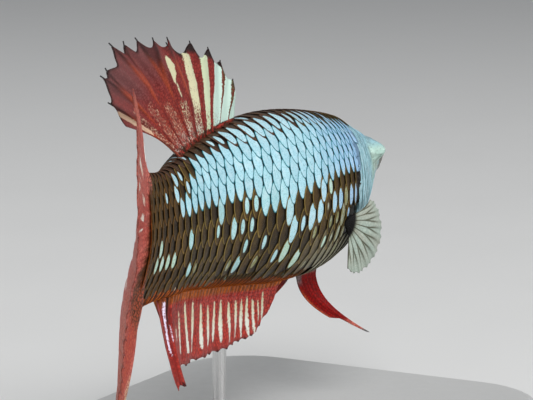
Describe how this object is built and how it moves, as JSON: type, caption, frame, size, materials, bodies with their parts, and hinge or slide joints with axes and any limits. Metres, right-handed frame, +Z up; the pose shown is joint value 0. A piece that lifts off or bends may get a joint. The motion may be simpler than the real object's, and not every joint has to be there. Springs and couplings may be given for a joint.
{
  "type": "betta fish model",
  "caption": "Still life-size model of an adult male betta fish with spread fins and a swung tail, held over a flat base by a slim rod.",
  "frame": {"origin": "middle of the stand's flat underside", "axes": "+X towards the fish's head, +Y towards the fish's left, +Z up"},
  "size_m": [0.0689, 0.04, 0.0435],
  "materials": {
    "scaled_skin": "satin scales, pale turquoise on the upper flank and head, dark olive brown below and behind",
    "eye": "gloss, black pupil in a blue-green iris",
    "fin_membrane": "satin, dark red with pale streaks between the rays",
    "pale_fin": "satin, greenish white between brown rays",
    "stand_board": "satin, warm grey",
    "stand_steel": "fine brushed"
  },
  "bodies": {
    "root": {"head": "scaled_skin", "lower_jaw": "scaled_skin", "gill_cover_left": "scaled_skin", "gill_cover_right": "scaled_skin", "trunk": "scaled_skin", "tail_stem": "scaled_skin", "eye_left": "eye", "eye_right": "eye", "dorsal_fin": "fin_membrane", "anal_fin": "fin_membrane", "caudal_fin": "fin_membrane", "pectoral_fin_left": "pale_fin", "pectoral_fin_right": "pale_fin", "pelvic_fin_left": "fin_membrane", "pelvic_fin_right": "fin_membrane", "stand_base": "stand_board", "stand_collar": "stand_steel", "stand_rod": "stand_steel"}
  },
  "joints": []
}
